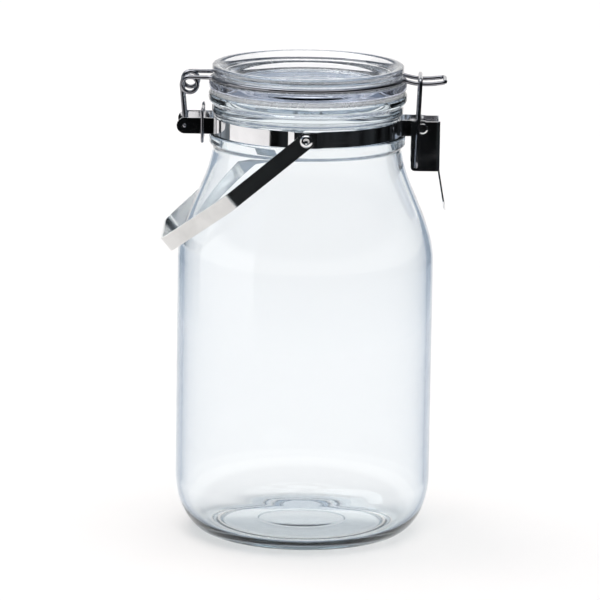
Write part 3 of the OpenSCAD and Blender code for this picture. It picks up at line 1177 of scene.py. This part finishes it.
@dataclass
class Handle(Group):
    """The carrying handle: one flat strip with four bends."""

    width: float = 9 * MM
    sheet: float = 1.4 * MM
    hang: float = math.radians(40)
    swing_gap: float = 0.6 * MM
    rest_gap: float = 1.2 * MM
    arm_share: float = 0.56
    grip: float = 56.8 * MM
    bend: float = 5 * MM
    edge: float = 0.25 * MM

    def build(self) -> None:
        """Makes the handle."""
        fit, hang, eye = self.fit, self.hang, self.width / 2
        out = eye * math.sin(hang) + self.sheet + self.rest_gap
        reach = (fit.body_r + out) / math.cos(hang)
        arm = reach * self.arm_share
        side = fit.flange_r + self.swing_gap + self.sheet / 2
        flat = soften([(-eye, -side), (arm, -side), (reach, -self.grip / 2), (reach, self.grip / 2),
                       (arm, side), (-eye, side)], self.bend, 8)
        along = Vector((-math.cos(hang), 0, -math.sin(hang)))
        across = Vector((-math.sin(hang), 0, math.cos(hang)))
        pivot = Vector((0, 0, fit.strap_z))
        path = [pivot + along * p.x + Vector((0, p.y, 0)) for p in close_ends(flat, eye, 12)]
        half_width = round_ends(lengths_along(path)[-1], eye)
        piece = bent_strip("carrying_handle", path, across, lambda s: -half_width(s), half_width,
                           self.sheet, self.edge)
        settle(piece, Body.HANDLE, "handle_steel", self.finishes.handle, "handle")


# ---- the studio


@dataclass
class Studio:
    """Floor, light and camera. Nothing here belongs to the canister."""

    distance: float = 3.02
    turn: float = math.radians(0.56)
    rise: float = math.radians(11.8)
    roll: float = math.radians(0.86)
    aim: Vector = field(default_factory=lambda: Vector((-0.0027, 0, 0.1316)))
    field_w: float = 0.338
    sun_power: float = 1.08
    sun_width: float = math.radians(38)
    sun_from: Vector = field(default_factory=lambda: Vector((-0.7, 0.35, 1.3)))
    paper: Colour = (0.975, 0.935, 0.9)
    # painted shade: the floor's colour in rays reflected inside glass, which darkens the glass's rims
    paper_painted_shade_in_glass: Colour = (0.4, 0.45, 0.52)
    card_r: float = 0.62
    card_h: float = 0.85
    card_fade: float = 0.06
    card_hue: Colour = (0.8, 0.9, 1.0)

    def camera(self) -> None:
        """Places the camera in front of the handle's pivot, a little above the lid."""
        data = bpy.data.cameras.new("camera")
        data.lens = data.sensor_width * self.distance / self.field_w
        data.clip_end = 50
        camera = bpy.data.objects.new("camera", data)
        level = Vector((math.sin(self.turn), -math.cos(self.turn), 0)) * math.cos(self.rise)
        back = level + Vector((0, 0, math.sin(self.rise)))
        aimed = back.to_track_quat("Z", "Y").to_matrix().to_4x4() @ Matrix.Rotation(self.roll, 4, "Z")
        camera.matrix_world = Matrix.Translation(self.aim + back * self.distance) @ aimed
        bpy.context.scene.collection.objects.link(camera)
        bpy.context.scene.camera = camera

    def floor(self) -> None:
        """Lays the pale floor, with painted shade: it is dark grey in rays that were reflected inside glass,
        so the glass's rims show dark.
        """
        bm = bmesh.new()
        bmesh.ops.create_grid(bm, x_segments=1, y_segments=1, size=8)
        floor = as_object("studio_floor", bm)
        material, paper, _ = start_material("pale_paper_with_painted_shade")
        tree = material.node_tree
        rays = tree.nodes.new("ShaderNodeLightPath").outputs
        # painted shade: where a ray was reflected inside glass, the floor is painted dark grey
        turned = math_node(tree, "GREATER_THAN", rays["Glossy Depth"], 0.5)
        share = math_node(tree, "MULTIPLY", turned, rays["Is Transmission Ray"])
        plug(paper, {"Base Color": blend(tree, share, self.paper, self.paper_painted_shade_in_glass), "Roughness": 0.9,
                     "Specular IOR Level": 0.0})
        floor.data.materials.append(material)

    def card(self, name: str, start: float, end: float, greys: Point2) -> None:
        """Stands a curved card round part of the set, seen only as it is mirrored.

        Args:
            name: The card's name.
            start: Direction of its first edge from the jar, in degrees from -Y towards +X.
            end: Direction of its last edge.
            greys: Its darkest and brightest bands.
        """
        turn = math.radians(start)
        x, y = self.card_r * math.sin(turn), -self.card_r * math.cos(turn)
        bm = bmesh.new()
        foot, top = (bm.verts.new((x, y, z)) for z in (0.0, self.card_h))
        bmesh.ops.spin(bm, geom=[foot, top, bm.edges.new((foot, top))], cent=(0, 0, 0), axis=(0, 0, 1),
                       angle=math.radians(end - start), steps=max(4, round((end - start) / 3)))
        card = as_object(name, bm)
        material, plain, output = start_material(name)
        tree = material.node_tree
        tree.nodes.remove(plain)
        bands = noise_node(tree, 5.0, 1.0, (1, 1, 0.02))
        band = math_node(tree, "MULTIPLY", math_node(tree, "SUBTRACT", bands, 0.42), 4.0, clamp=True)
        grey = math_node(tree, "ADD", greys[0], math_node(tree, "MULTIPLY", band, greys[1] - greys[0]))
        place = tree.nodes.new("ShaderNodeTexCoord").outputs["Object"]
        split = plug(tree.nodes.new("ShaderNodeSeparateXYZ"), {0: place})
        height = math_node(tree, "SUBTRACT", self.card_fade, split.outputs["Z"])
        pale = math_node(tree, "DIVIDE", height, self.card_fade, clamp=True)
        glow = plug(tree.nodes.new("ShaderNodeEmission"),
                    {"Color": blend(tree, pale, self.card_hue, (1, 1, 1)),
                     "Strength": math_node(tree, "MAXIMUM", grey, pale)})
        plug(output, {"Surface": glow.outputs[0]})
        card.data.materials.append(material)
        card.visible_camera = False
        card.visible_diffuse = False
        card.visible_shadow = False
        card.visible_transmission = False

    def sky(self) -> None:
        """Surrounds the set with white that darkens overhead, so that the rims of the glass show."""
        world = bpy.data.worlds.new("white_room")
        bpy.context.scene.world = world
        world.use_nodes = True
        tree = world.node_tree
        view = tree.nodes.new("ShaderNodeTexCoord").outputs["Generated"]
        split = plug(tree.nodes.new("ShaderNodeSeparateXYZ"), {0: view})
        ramp = plug(tree.nodes.new("ShaderNodeValToRGB"), {0: split.outputs["Z"]})
        white, slate, bright = (1.06, 1.06, 1.06), (0.2, 0.24, 0.3), (2.2, 2.2, 2.2)
        marks = ((0.0, white), (0.22, white), (0.34, slate), (0.8, slate), (0.92, bright))
        while len(ramp.color_ramp.elements) < len(marks):
            ramp.color_ramp.elements.new(0.5)
        for element, (height, colour) in zip(ramp.color_ramp.elements, marks):
            element.position = height
            element.color = (*colour, 1)
        plug(tree.nodes["Background"], {"Color": ramp.outputs[0]})

    def lamp(self) -> None:
        """Lights the set softly from behind its left shoulder."""
        sun = bpy.data.lights.new("soft_sun", "SUN")
        sun.energy = self.sun_power
        sun.angle = self.sun_width
        holder = bpy.data.objects.new("soft_sun", sun)
        holder.matrix_world = self.sun_from.to_track_quat("Z", "Y").to_matrix().to_4x4()
        bpy.context.scene.collection.objects.link(holder)

    def build(self) -> None:
        """Sets the whole stage."""
        self.camera()
        self.floor()
        self.sky()
        self.lamp()
        self.card("front_card", -44, 130, (0.002, 0.028))
        self.card("left_card", -152, -104, (0.12, 0.35))
        self.card("right_card", 130, 152, (0.08, 0.3))
        scene = bpy.context.scene
        scene.view_settings.view_transform = "Standard"
        scene.cycles.max_bounces = 24
        scene.cycles.transmission_bounces = 24
        scene.cycles.glossy_bounces = 8
        scene.cycles.transparent_max_bounces = 16


def main() -> None:
    logging.basicConfig(level=logging.INFO, format="%(name)s %(message)s")
    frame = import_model()
    Studio().build()
    fit, finishes = Fit.read(frame), Finishes()
    for group in (Jar, Lid, NeckStrap, LidWire, Latch, Handle):
        group(fit, finishes).build()


if __name__ == "__main__":
    main()
